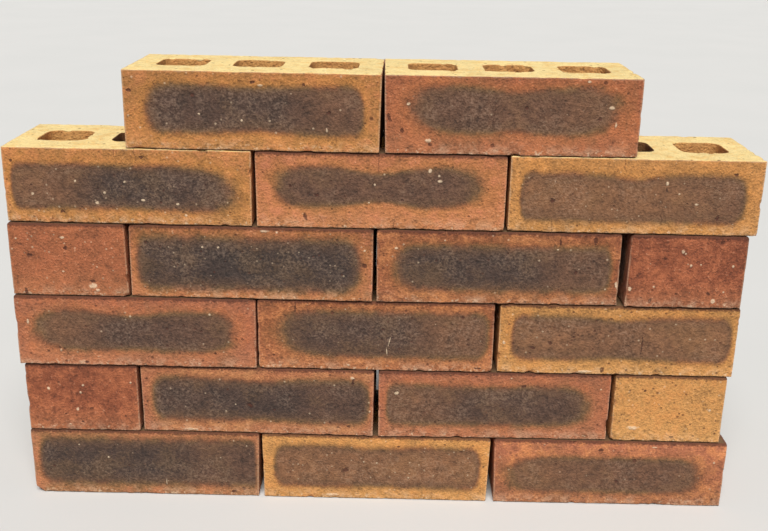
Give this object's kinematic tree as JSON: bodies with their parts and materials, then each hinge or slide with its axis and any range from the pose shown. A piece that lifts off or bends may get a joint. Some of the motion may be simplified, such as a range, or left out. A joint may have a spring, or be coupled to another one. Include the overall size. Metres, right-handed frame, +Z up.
{
  "type": "stack of bricks",
  "caption": "Free-standing stack of perforated clay facing bricks, laid dry in half bond as stretchers and headers, each with square slots from bed to bed.",
  "frame": {"origin": "below the middle of the stack, on the ground plane under the lowest beds", "axes": "+X along the wall to the right, seen from its shown face; +Y into the wall; +Z up"},
  "size_m": [0.657, 0.218, 0.405],
  "materials": {
    "red_brick": "fired, sanded and matt",
    "golden_brick": "fired, sanded and matt",
    "orange_brick": "fired, sanded and matt"
  },
  "bodies": {
    "root": {"course1_stretcher_left": "orange_brick", "course1_stretcher_middle": "golden_brick", "course1_stretcher_right": "red_brick", "course2_header_left": "red_brick", "course2_stretcher_left": "orange_brick", "course2_stretcher_right": "red_brick", "course2_header_right": "golden_brick", "course3_stretcher_left": "red_brick", "course3_stretcher_middle": "orange_brick", "course3_stretcher_right": "golden_brick", "course4_header_left": "red_brick", "course4_stretcher_left": "orange_brick", "course4_stretcher_right": "red_brick", "course4_header_right": "red_brick", "course5_stretcher_left": "golden_brick", "course5_stretcher_middle": "orange_brick", "course5_stretcher_right": "orange_brick", "course6_stretcher_left": "golden_brick", "course6_stretcher_right": "red_brick"}
  },
  "joints": []
}
